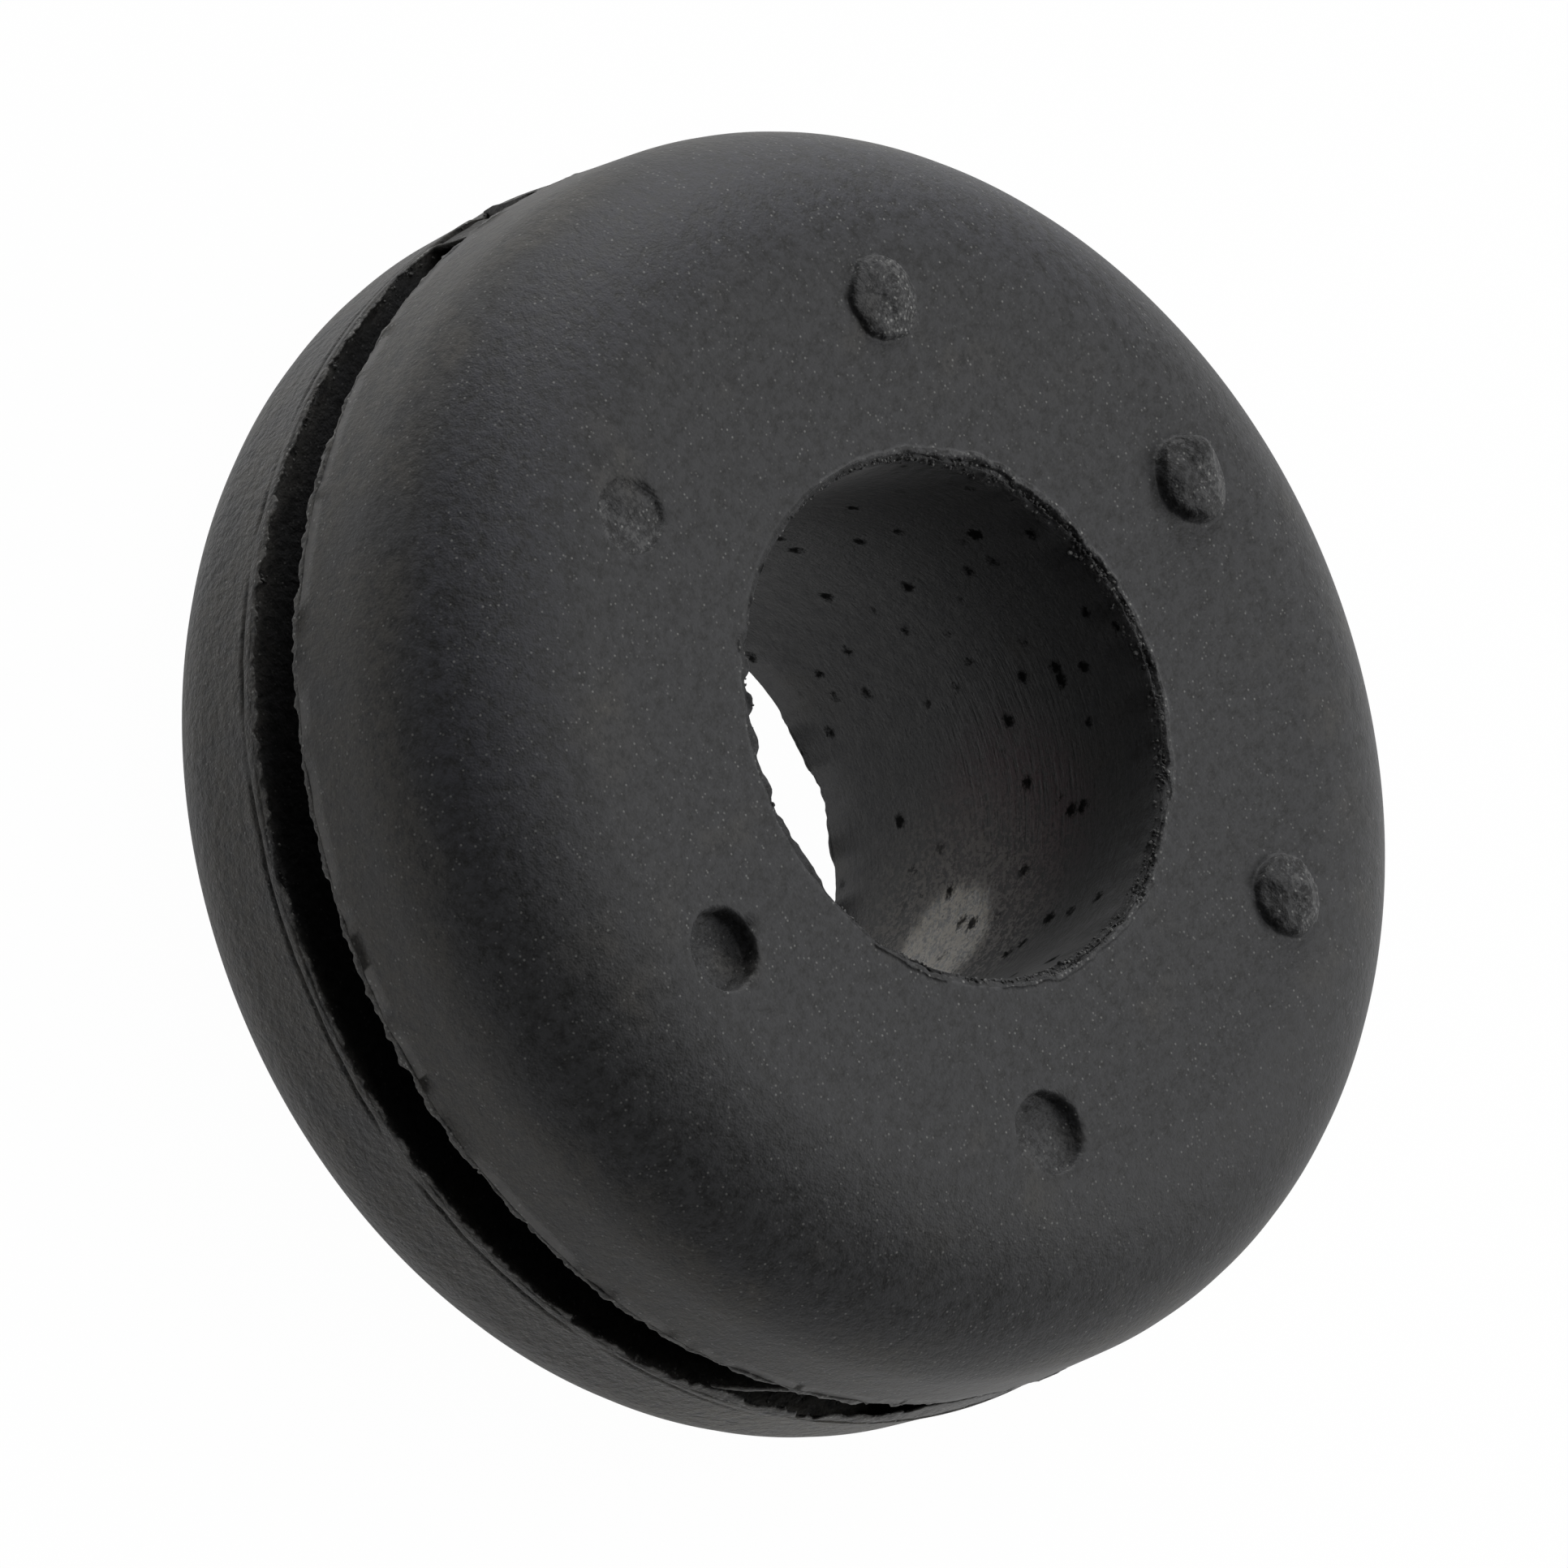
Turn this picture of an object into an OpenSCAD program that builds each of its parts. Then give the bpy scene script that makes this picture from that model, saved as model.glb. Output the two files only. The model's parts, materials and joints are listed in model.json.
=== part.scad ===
// Moulded rubber buffer: two thick round flanges with rolled shoulders, joined
// by a narrow panel groove, with a straight bore through the middle.
// It lies on its back flange, with the bore's axis along +Z. The origin is the
// centre of the bore at the back face. Sizes are in millimetres.

/* [Flanges] */
// Diameter of both flanges, measured at the edges of the groove
flange_d = 20; // [18:0.5:30]
// Thickness of the front flange, which carries the mould marks
front_t = 3.6; // [3:0.1:6]
// Thickness of the back flange, on which the buffer lies
back_t = 3.6; // [3:0.1:6]
// Moulding draft: how much a flank's radius shrinks from the groove to the shoulder
flank_draft = 0.05; // [0:0.01:0.15]

/* [Shoulders] */
// Reach of the rolled shoulder inwards, across the face
shoulder_in = 2.9; // [1:0.1:3.5]
// Reach of the rolled shoulder down the flank
shoulder_down = 2.45; // [1:0.05:2.8]

/* [Groove] */
// Width of the groove, which takes the edge of a panel
groove_w = 1.1; // [0.8:0.1:3]
// Diameter of the neck at the floor of the groove
neck_d = 14; // [11:0.5:16.5]
// Fillet between the neck and the groove's walls
neck_fillet = 0.2; // [0.05:0.05:0.35]
// Width of the parting lip along the back flange's edge of the groove
lip_w = 0.2; // [0.05:0.01:0.4]
// Height of the parting lip above the flank
lip_h = 0.04; // [0.01:0.01:0.2]

/* [Bore] */
// Diameter of the bore
bore_d = 8.2; // [6:0.1:10]

/* [Mould marks] */
// Diameter of the round marks on the front face
mark_d = 1.35; // [0.5:0.05:2]
// Distance of the marks' centres from the inner edge of the shoulder
mark_inset = 0.4; // [0:0.05:1]
// Sideways offset of the ring of marks from the bore, along X
mark_offset = -0.2; // [-0.3:0.05:0.3]
// Rise of the shallow cone that ends each mark, as the drill left it
mark_cone = 0.05; // [0.01:0.01:0.2]
// Height of the mark at 0 degrees; below zero it is sunk
mark_1_h = -0.3; // [-0.6:0.01:0.6]
// Height of the mark at 60 degrees
mark_2_h = -0.18; // [-0.6:0.01:0.6]
// Height of the mark at 120 degrees
mark_3_h = 0.16; // [-0.6:0.01:0.6]
// Height of the mark at 180 degrees
mark_4_h = 0.24; // [-0.6:0.01:0.6]
// Height of the mark at 240 degrees
mark_5_h = 0.12; // [-0.6:0.01:0.6]
// Height of the mark at 300 degrees
mark_6_h = 0.03; // [-0.6:0.01:0.6]

/* [Hidden] */

$fn = 180;
over = 0.5;                                // how far a cut runs past a surface
height = back_t + groove_w + front_t;
flange_r = flange_d / 2;                   // of a flank, at the groove's edge
shoulder_r = flange_r - flank_draft;       // of a flank, where the shoulder starts
face_r = shoulder_r - shoulder_in;         // of the flat face
mark_heights = [mark_1_h, mark_2_h, mark_3_h, mark_4_h, mark_5_h, mark_6_h];
mark_pitch = 360 / len(mark_heights);
rubber = [0.16, 0.16, 0.16];

// Half section of a flange of thickness t. The groove's side is at y = 0 and the
// face is at y = t. A drafted flank runs into a quarter ellipse, then the face.
module flange_section(t) {
    flank_h = t - shoulder_down;
    polygon([[0, 0], [flange_r, 0], [shoulder_r, flank_h], [0, flank_h]]);
    square([face_r, t]);
    intersection() {
        translate([face_r, flank_h])
            scale([1, shoulder_down / shoulder_in])
                circle(r = shoulder_in);
        translate([0, flank_h])
            square([shoulder_r, shoulder_down]);
    }
}

// Half section of the neck, with a fillet into each wall of the groove
module neck_section() {
    neck_r = neck_d / 2;
    difference() {
        square([neck_r + neck_fillet, groove_w]);
        translate([neck_r, neck_fillet])
            square([neck_fillet + over, groove_w - 2 * neck_fillet]);
        for (y = [neck_fillet, groove_w - neck_fillet])
            translate([neck_r + neck_fillet, y])
                circle(r = neck_fillet);
    }
}

// Half section of the lip that the mould's parting line leaves, at y = 0
module lip_section() {
    polygon([
        [shoulder_r, 0],
        [flange_r + lip_h, 0],
        [flange_r + lip_h, lip_w / 2],
        [shoulder_r, lip_w]
    ]);
}

// Half section of the whole buffer, without its bore
module body_section() {
    translate([0, back_t])
        mirror([0, 1]) {
            flange_section(back_t);
            lip_section();
        }
    translate([0, back_t])
        neck_section();
    translate([0, back_t + groove_w])
        flange_section(front_t);
}

// One mark of height h, rising from y = 0, with its end a shallow cone
module mark(h) {
    translate([0, 0, -over])
        cylinder(d = mark_d, h = over + h);
    translate([0, 0, h])
        cylinder(d1 = mark_d, d2 = 0, h = mark_cone);
}

// The marks whose side is +1 stand out of the front face, and those whose side
// is -1 are drawn pointing down, as the tools that sink them
module marks(side) {
    for (i = [0 : len(mark_heights) - 1])
        if (side * mark_heights[i] > 0)
            translate([mark_offset, 0, height])
                rotate([0, 0, i * mark_pitch])
                    translate([face_r - mark_inset, 0, 0])
                        mirror([0, 0, side > 0 ? 0 : 1])
                            mark(abs(mark_heights[i]));
}

module rubber_buffer() {
    color(rubber)
        difference() {
            union() {
                rotate_extrude()
                    body_section();
                marks(1);
            }
            marks(-1);
            translate([0, 0, -over])
                cylinder(d = bore_d, h = height + 2 * over);
        }
}

rubber_buffer();
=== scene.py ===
"""Rubber buffer: the finish of a moulded rubber panel buffer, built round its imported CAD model.

Every new piece is a surface worked out with numpy on a grid of two parameters: the angle round the
bore and the way along a cross-section. Lengths are in metres.
"""
import json
import math
from itertools import product
from types import SimpleNamespace

import bpy
import numpy as np
from mathutils import Matrix, Vector


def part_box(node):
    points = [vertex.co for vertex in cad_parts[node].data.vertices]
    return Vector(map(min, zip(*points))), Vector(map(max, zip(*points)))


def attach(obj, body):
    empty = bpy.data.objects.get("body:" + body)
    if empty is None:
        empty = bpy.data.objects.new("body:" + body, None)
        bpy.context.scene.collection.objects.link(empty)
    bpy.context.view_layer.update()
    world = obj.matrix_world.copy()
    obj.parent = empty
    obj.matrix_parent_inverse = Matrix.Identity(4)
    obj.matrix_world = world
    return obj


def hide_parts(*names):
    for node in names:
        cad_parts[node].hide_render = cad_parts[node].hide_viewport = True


bl_info = {
    "name": "Rubber Buffer",
    "version": (1, 0, 0),
    "blender": (4, 5, 0),
    "location": "View3D > Sidebar > Buffer",
    "description": "Builds a moulded rubber panel buffer with its flash, marks, material and studio",
    "category": "Add Mesh",
}

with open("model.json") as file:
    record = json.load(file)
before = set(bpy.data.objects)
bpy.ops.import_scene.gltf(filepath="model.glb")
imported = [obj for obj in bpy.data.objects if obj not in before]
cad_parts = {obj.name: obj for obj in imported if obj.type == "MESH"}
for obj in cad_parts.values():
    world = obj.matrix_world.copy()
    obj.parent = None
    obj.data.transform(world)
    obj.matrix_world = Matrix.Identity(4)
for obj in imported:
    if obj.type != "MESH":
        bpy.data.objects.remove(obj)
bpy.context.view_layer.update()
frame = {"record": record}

MM = 0.001
NODE = "rubber_buffer"
BODY = "root"
TURN = 2 * math.pi
LOW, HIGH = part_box(NODE)
BORE = next(m for m in frame["record"]["mounts"] if m["name"] == "bore")
BORE_R = BORE["dims"]["r_mm"] * MM
HEIGHT = BORE["dims"]["length_mm"] * MM


# ---------------------------------------------------------------- settings

def length(name, description, default_mm, low_mm=0.0, high_mm=50.0):
    """A length property in metres whose default is given in millimetres."""
    return bpy.props.FloatProperty(
        name=name, description=description, default=default_mm * MM,
        min=low_mm * MM, max=high_mm * MM, unit="LENGTH", precision=5)


def share(name, description, default, high=1.0):
    """A plain number property from 0 to high."""
    return bpy.props.FloatProperty(name=name, description=description, default=default, min=0.0, max=high)


def angle(name, description, default_deg):
    """An angle property in radians whose default is given in degrees."""
    return bpy.props.FloatProperty(
        name=name, description=description, default=math.radians(default_deg), subtype="ANGLE")


def colour(name, description, default):
    """A colour property, in linear light."""
    return bpy.props.FloatVectorProperty(
        name=name, description=description, default=default, size=3, min=0.0, max=1.0, subtype="COLOR")


class BufferSizes(bpy.types.PropertyGroup):
    """Sizes of the moulded body."""

    lip_h: length("Lip height", "Height of the parting lip above the back flank", 0.04)
    lip_w: length("Lip width", "Width of the parting lip", 0.2)
    draft: length("Draft", "How much a flank's radius shrinks from the groove to the shoulder", 0.05)
    shoulder_in: length("Shoulder across", "Reach of the rolled shoulder across the face", 2.9)
    shoulder_down: length("Shoulder down", "Reach of the rolled shoulder down the flank", 2.45)
    groove_w: length("Groove width", "Width of the panel groove", 1.1)
    neck_r: length("Neck radius", "Radius at the floor of the groove", 7.0)
    neck_fillet: length("Neck fillet", "Fillet between the neck and the groove's walls", 0.2)
    mark_r: length("Mark radius", "Radius of the round mould marks", 0.675)
    mark_inset: length("Mark inset", "Distance of the marks' centres from the shoulder", 0.4)
    mark_offset: length("Mark offset", "Sideways offset of the ring of marks, along X", -0.2, -1.0)


# The round marks at 0, 60, 120, 180, 240 and 300 degrees. Four shares come first: raggedness of the
# outline, size against the mark radius, how much painted shade darkens the mark, most on its side that
# falls in shadow, and how thickly powder lies, thicker on the lit side as a painted highlight. Seven
# lengths in millimetres follow: height above the front face, below zero where the mark is sunk; rise
# of its crown; size of its lumps; tilt, higher towards +X; depth of the ragged crease round it; and
# how far its centre is off its place, along X and along Y
MARKS = (
    (0.04, 0.94, 0.50, 0.1, -0.25, -0.04, 0.040, 0.12, 0.0, 0.01, 0.05),
    (0.04, 0.96, 0.45, 0.3, -0.15, -0.03, 0.035, 0.09, 0.02, 0.07, -0.01),
    (0.05, 0.95, 0.40, 1.0, 0.14, 0.12, 0.070, 0.0, 0.03, 0.0, 0.0),
    (0.05, 1.02, 0.45, 0.9, 0.20, 0.13, 0.070, 0.0, 0.03, 0.11, -0.13),
    (0.05, 0.97, 0.35, 1.0, 0.10, 0.08, 0.060, 0.0, 0.03, -0.09, 0.13),
    (0.05, 0.91, 0.20, 0.6, -0.045, 0.0, 0.055, 0.0, 0.03, -0.05, -0.10),
)


# ---------------------------------------------------------------- noise

def lattice(i, j, k, seed):
    """A repeatable number from 0 to 1 at each whole point of space.

    The three whole numbers and the seed are each multiplied by a large odd number and mixed by
    exclusive or; shifts and one more product scramble the sum, and its low 16 bits are kept.
    """
    mixed = (i * 73856093) ^ (j * 19349663) ^ (k * 83492791) ^ (seed * 2654435761)
    mixed = (mixed ^ (mixed >> 13)) * 1274126177
    mixed = mixed ^ (mixed >> 16)
    return (mixed & 0xFFFF) / 65535.0


def noise(points, cell, seed, sharp=0.0):
    """Smooth noise from -1 to 1 with features about one cell wide.

    The eight lattice numbers round a point are blended by the fade 3t^2 - 2t^3 along each axis. The
    fade is squeezed into the middle of the cell by sharp, up to 0.5, which leaves steps.
    """
    scaled = points / cell
    base = np.floor(scaled).astype(np.int64)
    fade = smooth(scaled - base, sharp, 1 - sharp)
    total = np.zeros(points.shape[:-1])
    for corner in product((0, 1), repeat=3):
        weight = np.ones(points.shape[:-1])
        for axis, side in enumerate(corner):
            weight = weight * (fade[..., axis] if side else 1 - fade[..., axis])
        at = [base[..., axis] + side for axis, side in enumerate(corner)]
        total += weight * lattice(*at, seed)
    return total * 2 - 1


def rough(points, cell, seed, octaves=3):
    """Noise from -1 to 1 with finer detail: each octave has half the cell and half the height of the last."""
    total = sum(noise(points, cell / 2 ** o, seed + o) / 2 ** o for o in range(octaves))
    return total / (2 - 2 ** (1 - octaves))


def smooth(x, start, end):
    """Rises from 0 at start to 1 at end by the fade 3t^2 - 2t^3; start may be above end."""
    t = np.clip((x - start) / (end - start), 0, 1)
    return t * t * (3 - 2 * t)


def degrees_from(theta, centre_deg=0.0):
    """Degrees from a centre to each angle round the bore, between -180 and 180."""
    return (np.degrees(theta) - centre_deg + 180) % 360 - 180


def around(theta, centre_deg, width_deg):
    """A bell of height 1 over the angle round the bore: exp of minus the squared distance in widths."""
    return np.exp(-(degrees_from(theta, centre_deg) / width_deg) ** 2)


# ---------------------------------------------------------------- meshes

def ring_points(theta, radius, height):
    """Points in space from an angle, a radius and a height, each an array of one shape."""
    return np.stack([radius * np.cos(theta), radius * np.sin(theta), height], -1)


def level_ring(theta, radius):
    """Points on a level circle, where the noise along a rim is read; of radius 1, directions outwards."""
    return ring_points(theta, radius, np.zeros_like(theta))


def solid_from_grids(name, points, joined, values):
    """A closed mesh from grids of points given as island, row, column and x, y, z.

    The columns of every island join up into rings. The rows join up too, as on a torus, if joined is
    true; otherwise one flat face closes the first ring and one the last. The sign of the enclosed
    volume, a third of the sum of each face's centre times its area vector, says whether the faces
    have to be turned to point outwards. The values are stored on the points under their names.
    """
    islands, rows, columns = points.shape[:3]
    n, i, j = np.indices((islands, rows if joined else rows - 1, columns))
    next_i, next_j = (i + 1) % rows, (j + 1) % columns
    first, second = (n * rows + i) * columns, (n * rows + next_i) * columns
    quads = np.stack([first + j, first + next_j, second + next_j, second + j], -1).reshape(-1, 4)
    starts = np.arange(islands)[:, None] * rows * columns
    ring = np.arange(columns)
    caps = np.concatenate([starts + ring[::-1], starts + (rows - 1) * columns + ring])[:0 if joined else None]
    flat = points.reshape(-1, 3)
    volume = 0
    for faces in (quads, caps):
        corners = flat[faces]
        areas = np.cross(corners, np.roll(corners, -1, 1)).sum(1) / 2
        volume += np.einsum("ij,ij->", corners.mean(1), areas) / 3
    if volume < 0:
        quads, caps = quads[:, ::-1], caps[:, ::-1]
    mesh = bpy.data.meshes.new(name)
    mesh.vertices.add(len(flat))
    mesh.vertices.foreach_set("co", flat.astype(np.float32).ravel())
    mesh.loops.add(quads.size + caps.size)
    mesh.loops.foreach_set("vertex_index", np.concatenate([quads.ravel(), caps.ravel()]).astype(np.int32))
    mesh.polygons.add(len(quads) + len(caps))
    loop_starts = [np.arange(len(quads)) * 4, quads.size + np.arange(len(caps)) * columns]
    mesh.polygons.foreach_set("loop_start", np.concatenate(loop_starts).astype(np.int32))
    mesh.polygons.foreach_set("use_smooth", np.ones(len(mesh.polygons), bool))
    for key, value in values.items():
        spread = np.broadcast_to(value, points.shape[:3]).astype(np.float32)
        mesh.attributes.new(key, "FLOAT", "POINT").data.foreach_set("value", spread.ravel())
    mesh.update(calc_edges=True)
    piece = bpy.data.objects.new(name, mesh)
    bpy.context.scene.collection.objects.link(piece)
    return piece


def finish_piece(piece, material):
    """Gives a piece its material and ties it to the CAD body."""
    piece.data.materials.append(material)
    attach(piece, BODY)


# ---------------------------------------------------------------- the body

ANGLES = 560                               # columns of the body's grid, crowded at the marks
MARK_CROWD = 1.1                           # how much closer the columns lie at a mark
MARK_SPAN = 7.0                            # half width of the crowded stretch, in degrees
MARK_MARGIN = 0.22 * MM                    # finely divided ring round each mark
FRONT_ROUND, BACK_ROUND = 0.06 * MM, 0.035 * MM  # radii of the groove's front and back edge
FRONT_SEED, FRONT_WANDER = 120, 0.06 * MM  # noise and reach of the front edge's wandering
BACK_SEED, BACK_WANDER = 140, 0.03 * MM    # and of the back edge's
BODY_SWELL = 0.012 * MM                    # how far the whole body is out of round


def body_angles():
    """Angles round the bore, closer together where a mark lies.

    The density is 1 plus a bell at each mark; its running sum is inverted at even steps.
    """
    fine = np.linspace(0, TURN, 7201)
    pitch = 360 / len(MARKS)
    density = 1 + MARK_CROWD * sum(around(fine, n * pitch, MARK_SPAN) for n in range(len(MARKS)))
    total = np.concatenate([[0], np.cumsum((density[1:] + density[:-1]) / 2)])
    return np.interp(np.arange(ANGLES) / ANGLES, total / total[-1], fine)


def line(start, end, count, power=1.0):
    """Points on a line, the end left out; a power above 1 crowds them at the start, below 1 at the end."""
    t = (np.arange(count) / count) ** power
    return np.outer(1 - t, start) + np.outer(t, end)


def arc(centre, radii, from_deg, to_deg, count):
    """Points on an elliptical arc, the end left out."""
    t = np.radians(from_deg + (to_deg - from_deg) * np.arange(count) / count)
    return np.stack([centre[0] + radii[0] * np.cos(t), centre[1] + radii[1] * np.sin(t)], -1)


# Corners of the bore rim's section in millimetres, as the reach outwards from the bore's wall and the
# fall below the face: the wall's end, a crumbled ledge, a crevice, the lip over it and the face
RIM_STATIONS = (0, 0.16, 0.36, 0.56, 0.74, 0.85, 1)
CREVICE = 3                                # the station at the bottom of the crevice
FIBRE_SHIFT = 0.55 * BORE_R                # how much nearer the axis the rims' fine noise is read
CLEAN_RIM = np.array((
    (0, 0.09), (0.008, 0.06), (0.02, 0.038), (0.036, 0.02), (0.055, 0.008), (0.08, 0.002), (0.13, 0)))
TORN_RIM = np.array((
    (0, 0.26), (0.03, 0.16), (0.075, 0.06), (0.13, 0.13), (0.15, 0.035), (0.175, -0.005), (0.27, 0)))
FIN_RIM = np.array((
    (0, 0.10), (-0.004, 0.07), (-0.004, 0.045), (0.003, 0.02), (0.018, 0.005), (0.045, 0), (0.10, 0)))
FLAP_RIM = np.array((
    (0, 0.16), (-0.03, 0.12), (-0.07, 0.07), (-0.085, 0.01), (-0.06, -0.02), (0.02, 0.05), (0.08, 0)))

# Spots where the front rim is torn besides its far side, and the notch in the back rim: how strongly,
# and the middle and half width in degrees
TORN_SPOTS = ((0.55, 84, 30), (0.5, 32, 11), (0.6, 107, 4), (0.55, -50, 2.5))
BACK_NOTCH = (0.75, 157, 6)
FLAP_AT, FLAP_HALF = -37, (2.4, 1.7)       # the flap's middle, and its half widths at foot and top


def torn_at(theta, strength, centre_deg, width_deg):
    """How torn one spot of a rim is at each angle: a bell of this strength."""
    return strength * around(theta, centre_deg, width_deg)


def rim_tear(theta, up):
    """Shares of the torn, the finned and the flap's section at each angle round the bore.

    The front rim is torn on the side away from the first mark and at a few spots, and carries a thin
    fin of flash on the near side, with one small flap. The back rim is little torn, but for one notch.
    """
    walk = level_ring(theta, BORE_R)
    slow = rough(walk, 1.2 * MM, 31 if up else 71)
    nothing = np.zeros_like(theta)
    if not up:
        return np.clip(0.22 + 0.2 * slow + torn_at(theta, *BACK_NOTCH), 0, 1), nothing, nothing
    far_side = around(theta, 187, 70) * (1 + 0.35 * slow) + 0.1 * slow
    torn = np.clip(far_side + sum(torn_at(theta, *spot) for spot in TORN_SPOTS), 0, 1)
    flap = smooth(np.abs(degrees_from(theta, FLAP_AT)), *FLAP_HALF)
    return torn, around(theta, -65, 60) * (1 - torn), flap


def rim_section(theta, count, up):
    """Reach and fall of a bore rim at each angle, at count stations from the bore's wall to the face.

    The four rims' corners are mixed by their shares, the stations lie at even steps along the line
    through the corners, and slow and fast noise along the rim scales it. The crevice comes and goes.
    The rim is broader on one stretch; stepped noise shifts its lip and bites jags into its inner part.
    """
    torn, fin, flap = rim_tear(theta, up)
    walk = level_ring(theta, BORE_R)
    seed = 3 if up else 90
    slow, fast = rough(walk, 1.0 * MM, seed), rough(walk, 0.3 * MM, seed + 7)
    steps = noise(walk, 0.55 * MM, seed + 13, 0.4)
    along = np.arange(count) / count
    weights = np.stack([np.interp(along, RIM_STATIONS, row) for row in np.eye(len(RIM_STATIONS))])
    corners = CLEAN_RIM
    for share_of, other in ((torn, TORN_RIM), (fin, FIN_RIM), (flap, FLAP_RIM)):
        corners = corners + share_of[..., None] * (other - corners)
    split = smooth(rough(walk, 0.8 * MM, seed + 19, 3), -0.35, 0.35)
    corners[:, CREVICE, 1] *= 0.45 + 0.75 * split[:, 0]
    broad = 1 + 0.3 * around(theta, 228, 18)
    reach = (corners[..., 0] @ weights) * (1 + 0.16 * slow + 0.22 * fast) * broad
    lip = smooth(along, 0.3, 0.75) * smooth(along, 1.02, 0.9)
    reach = reach + lip * ((0.012 + 0.025 * torn) * steps + 0.025 * fast)
    inner = smooth(along, 0, 0.15) * smooth(along, 1, 0.6)
    jagged = around(theta, -14, 42) if up else 0.5
    jags = 0.13 * noise(walk, 0.8 * MM, seed + 31, 0.38) + 0.05 * noise(walk, 0.33 * MM, seed + 37, 0.3)
    reach = reach - inner * jagged * jags
    fall = (corners[..., 1] @ weights) * (1 + 0.3 * slow + 0.3 * fast)
    return reach * MM, fall * MM, torn, along


def body_section(s):
    """The buffer's cross-section as radii and heights, and where its stretches begin.

    It runs up the bore, out over the front face, down the shoulder and flank, round the groove, and
    back under the back flange, each stretch a line or an elliptical arc.
    """
    lip_r = HIGH.x
    flange_r = lip_r - s.lip_h
    shoulder_r = flange_r - s.draft
    face_r = shoulder_r - s.shoulder_in
    foot_r = s.neck_r + s.neck_fillet
    flange_t = (HEIGHT - s.groove_w) / 2
    low_edge, high_edge = flange_t, HEIGHT - flange_t
    lip_end = low_edge - 2 * s.lip_w
    radii, fillet = (s.shoulder_in, s.shoulder_down), (s.neck_fillet, s.neck_fillet)
    front = (face_r, HEIGHT - s.shoulder_down)
    back = (face_r, s.shoulder_down)
    band = s.mark_r + MARK_MARGIN
    marks_in, marks_out = face_r - s.mark_inset - band, face_r - s.mark_inset + band
    turn = math.degrees(math.acos((marks_out - face_r) / s.shoulder_in))
    # Each line and arc ends in its count of points; tear_rim spreads out the points of the rims
    stretches = {
        "bore": line((BORE_R, 0), (BORE_R, HEIGHT), 9),
        "front_rim": line((BORE_R, HEIGHT), (BORE_R, HEIGHT), 27),
        "front_face": line((BORE_R, HEIGHT), (marks_in, HEIGHT), 8, power=1.4),
        "marks": line((marks_in, HEIGHT), (marks_out, HEIGHT), 42),
        "front_shoulder": arc(front, radii, turn, 0, 15),
        "front_flank": line((shoulder_r, HEIGHT - s.shoulder_down), (flange_r, high_edge + FRONT_ROUND), 4),
        "front_edge": arc(
            (flange_r - FRONT_ROUND, high_edge + FRONT_ROUND), (FRONT_ROUND, FRONT_ROUND), 0, -90, 6),
        "front_wall": line((flange_r - FRONT_ROUND, high_edge), (foot_r, high_edge), 4, power=3.0),
        "neck_top": arc((foot_r, high_edge - s.neck_fillet), fillet, 90, 180, 4),
        "neck_low": arc((foot_r, low_edge + s.neck_fillet), fillet, 180, 270, 4),
        "back_wall": line((foot_r, low_edge), (lip_r - BACK_ROUND, low_edge), 4, power=0.2),
        "back_edge": arc((lip_r - BACK_ROUND, low_edge - BACK_ROUND), (BACK_ROUND, BACK_ROUND), 90, 0, 5),
        "lip": line((lip_r, low_edge - BACK_ROUND), (flange_r, lip_end), 13),
        "back_flank": line((flange_r, lip_end), (shoulder_r, s.shoulder_down), 3),
        "back_shoulder": arc(back, radii, 0, -90, 14),
        "back_face": line((face_r, 0), (BORE_R, 0), 5),
        "back_rim": line((BORE_R, 0), (BORE_R, 0), 9),
    }
    starts, count = {}, 0
    for name, points in stretches.items():
        starts[name] = slice(count, count + len(points))
        count += len(points)
    outline = np.concatenate(list(stretches.values()))
    # The marks reach out over the shoulder, so their outer rows are let down onto its ellipse
    beyond = (outline[:, 0] > face_r) & (np.arange(count) < starts["front_shoulder"].start)
    across = np.clip((outline[:, 0] - face_r) / s.shoulder_in, 0, 1)
    outline[beyond, 1] -= s.shoulder_down * (1 - np.sqrt(1 - across[beyond] ** 2))
    return outline[:, 0], outline[:, 1], starts


def tear_rim(radius, height, rows, theta, up):
    """Lays the rows of a rim along its torn section and crumbles them with fine noise.

    The noise is read on a ring of under half the radius, which draws its lumps out along the rim.
    Returns how torn each point is, for the material.
    """
    count = rows.stop - rows.start
    reach, fall, torn, along = rim_section(theta, count, up)
    if not up:
        reach, fall, along = reach[:, ::-1], fall[:, ::-1], along[::-1]
    radius[:, rows] = BORE_R + reach
    height[:, rows] = HEIGHT - fall if up else fall
    drawn_out = radius[:, rows] - FIBRE_SHIFT
    fibres = ring_points(np.broadcast_to(theta, reach.shape), drawn_out, height[:, rows])
    swell = np.sin(np.pi * np.clip(along * 1.05, 0, 1)) ** 0.5 * (0.024 + 0.048 * torn) * MM
    radius[:, rows] += swell * rough(fibres, 0.13 * MM, 20 + up, 4)
    height[:, rows] += swell * rough(fibres, 0.13 * MM, 40 + up, 4)
    return torn * np.sin(np.pi * along) ** 0.5


# Level directions towards the side of a raised and of a sunk mark that falls in shadow, and is given painted
# shade and less powder
RAISED_SHADOW_SIDE, SUNK_SHADOW_SIDE = (0.83, -0.56), (-0.7, -0.7)


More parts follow.
